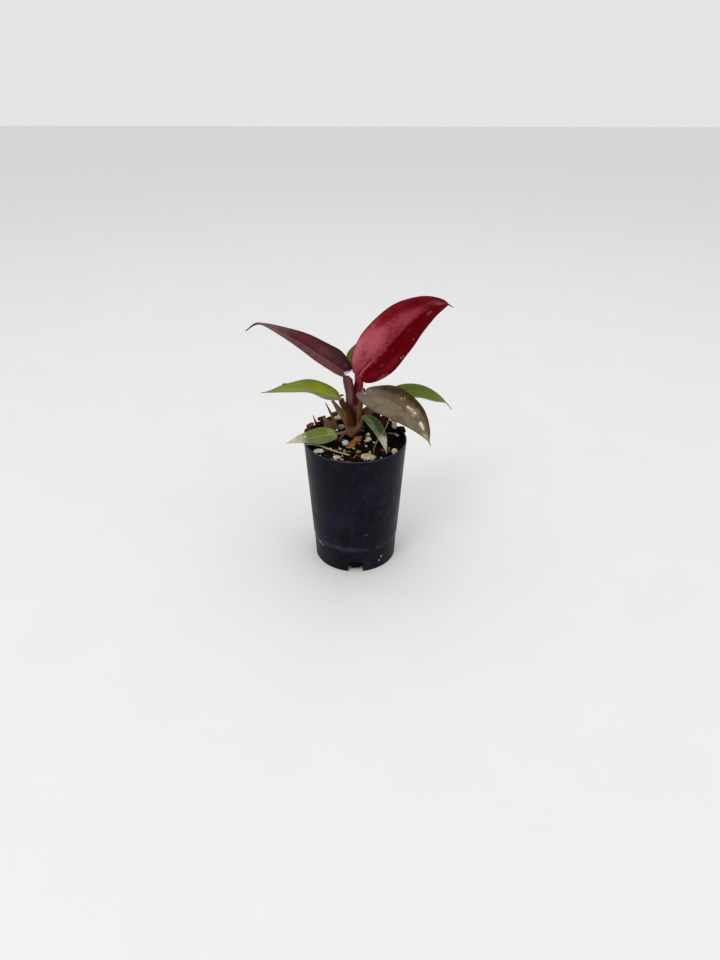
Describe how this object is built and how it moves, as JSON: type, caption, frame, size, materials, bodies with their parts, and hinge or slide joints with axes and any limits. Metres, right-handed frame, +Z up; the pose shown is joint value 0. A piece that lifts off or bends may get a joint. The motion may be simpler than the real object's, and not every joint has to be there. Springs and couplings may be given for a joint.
{
  "type": "potted red philodendron",
  "caption": "Young red-leaved aroid with a folded red leaf, a long maroon leaf and smaller green and bronze leaves, in a thin tapered nursery pot of bark and pumice mix.",
  "frame": {"origin": "centre of the pot's foot, on the surface it stands on; the leaves reach about as far to each side, so it is also the middle of the box's bottom", "axes": "+Z up along the pot's axis; -Y towards the side the plant is seen best from; +X towards the red leaf's tip"},
  "size_m": [0.1378, 0.0698, 0.1815],
  "materials": {
    "pot_plastic": "satin",
    "potting_mix": "matte",
    "stem": "satin",
    "red_leaf": "satin",
    "red_stalk": "satin",
    "maroon_leaf": "satin",
    "maroon_stalk": "satin",
    "bronze_leaf": "satin",
    "olive_stalk": "satin",
    "lime_leaf": "satin",
    "brown_sheath": "satin",
    "green_leaf": "satin",
    "rosy_stalk": "satin",
    "olive_leaf": "satin",
    "deep_green_leaf": "satin",
    "pale_green_leaf": "satin",
    "dry_sheath": "matte",
    "dry_leaf": "matte",
    "straw": "matte",
    "pumice": "matte",
    "bark": "matte"
  },
  "bodies": {
    "root": {"pot": "pot_plastic", "soil": "potting_mix", "stem": "stem", "leaf_red": "red_leaf", "stalk_red": "red_stalk", "leaf_maroon": "maroon_leaf", "sheath_maroon": "maroon_stalk", "leaf_bronze": "bronze_leaf", "stalk_bronze": "olive_stalk", "leaf_green_left": "lime_leaf", "sheath_green_left": "brown_sheath", "leaf_green_right": "green_leaf", "stalk_green_right": "rosy_stalk", "stalk_small_front": "rosy_stalk", "leaf_olive": "olive_leaf", "stalk_olive": "olive_leaf", "leaf_small_front": "deep_green_leaf", "leaf_small_left": "pale_green_leaf", "stalk_small_left": "dry_sheath", "bare_stalk": "dry_sheath", "dry_sheath": "dry_sheath", "dry_scrap": "dry_leaf", "rim_splinter": "dry_leaf", "straw_strip": "straw", "dry_fibre_arch": "straw", "dry_fibre_right": "straw", "pumice_oval": "pumice", "pumice_front": "pumice", "pumice_centre": "pumice", "pumice_pair": "pumice", "pumice_pair_small": "pumice", "pumice_small": "pumice", "pumice_moss_front": "pumice", "pumice_moss_left": "pumice", "pumice_shard": "pumice", "pumice_right": "pumice", "pumice_back_right": "pumice", "pumice_edge_right": "pumice", "pumice_back_left": "pumice", "pumice_green": "pumice", "bark_back_right": "bark", "bark_front_right": "bark", "bark_left": "bark", "bark_back_left": "bark", "bark_back": "bark", "bark_front_small": "bark", "bark_rim_left": "bark", "bark_rim_far_left": "bark", "bark_rim_back_middle": "bark", "bark_rim_far_right": "bark", "bark_rim_back_left": "bark", "bark_rim_back": "bark", "bark_rim_middle": "bark", "bark_rim_back_right": "bark", "bark_rim_right": "bark"}
  },
  "joints": []
}
